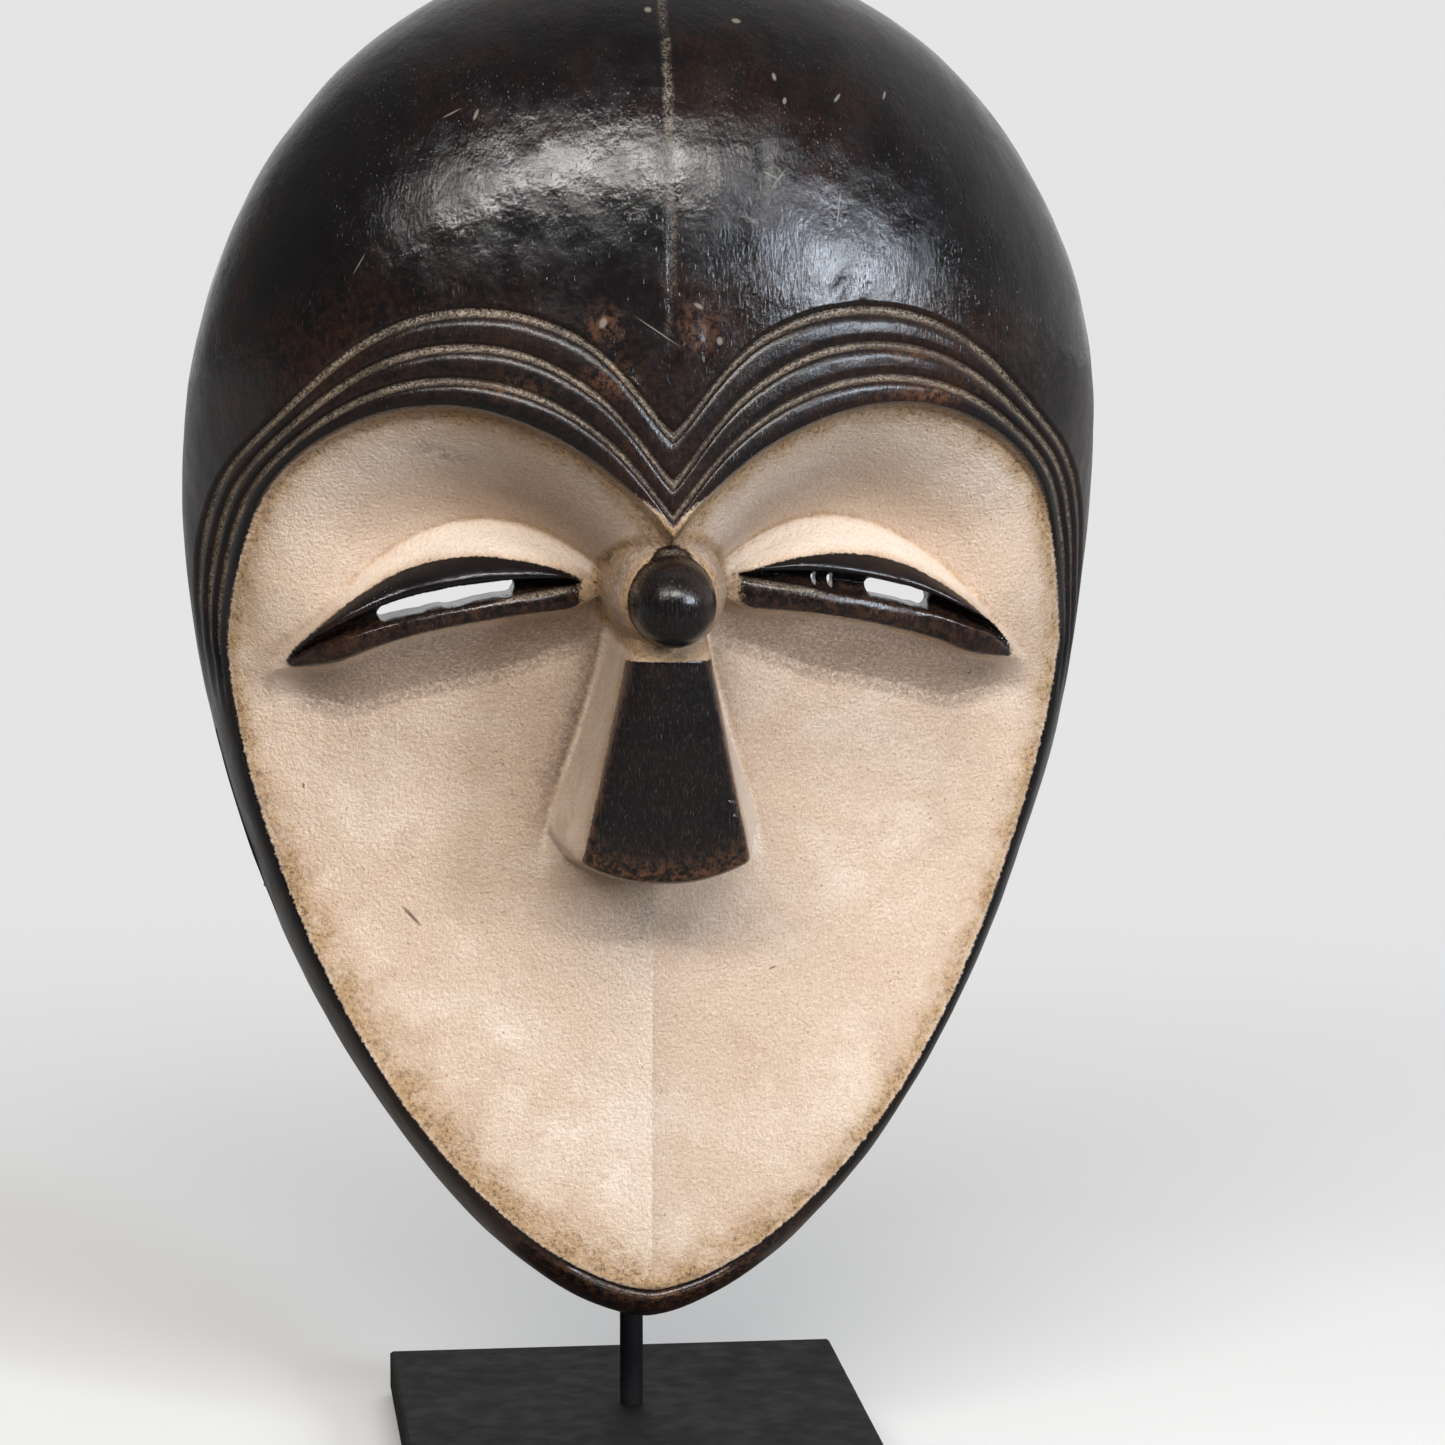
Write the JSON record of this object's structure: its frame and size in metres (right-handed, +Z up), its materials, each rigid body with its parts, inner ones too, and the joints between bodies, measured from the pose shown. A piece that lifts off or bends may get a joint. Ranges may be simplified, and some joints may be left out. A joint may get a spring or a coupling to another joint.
{
  "type": "carved wooden mask on a display stand",
  "caption": "Carved wooden mask with a dark domed forehead, incised brow lines, slit eyes and a whitened heart-shaped face, hung on a bent hook post that turns in a square steel base.",
  "frame": {"origin": "centre of the felt's underside, on the axis of the post", "axes": "+Z up along the post, the mask looks along -Y, +X is to the viewer's right"},
  "size_m": [0.227, 0.1792, 0.387],
  "materials": {
    "mask_wood": "dark polished patina with a whitened face",
    "black_steel": "matte black",
    "felt": "pressed felt",
    "bare_steel": "plain",
    "rubber": "matte",
    "brass": "turned"
  },
  "bodies": {
    "base": {"base_plate": "black_steel", "base_felt": "felt"},
    "upright": {"post": "black_steel", "post_screw": "bare_steel", "crown_cap": "rubber"},
    "steady_bar": {"clamp_block": "black_steel", "crossbar": "black_steel", "bar_screws": "bare_steel", "locating_pins": "bare_steel", "pin_sleeve_left": "rubber", "pin_sleeve_right": "rubber", "rim_pad_left": "felt", "rim_pad_right": "felt"},
    "clamp_knob": {"thumb_screw": "brass"},
    "mask": {"mask_shell": "mask_wood"}
  },
  "joints": [
    {"name": "swivel", "type": "hinge", "parent": "base", "child": "upright", "pos_m": [0, 0, 0.012], "axis": [0, 0, 1], "continuous": true},
    {"name": "bar_height", "type": "slide", "parent": "upright", "child": "steady_bar", "axis": [0, 0, 1], "range_m": [0, 0.03]},
    {"name": "thumb_turn", "type": "hinge", "parent": "steady_bar", "child": "clamp_knob", "pos_m": [0, 0.01, 0.157], "axis": [0, 1, 0], "range_deg": [0, 360]},
    {"name": "mask_lift", "type": "slide", "parent": "upright", "child": "mask", "axis": [0, -0.766, 0.6428], "range_m": [0, 0.22]}
  ]
}
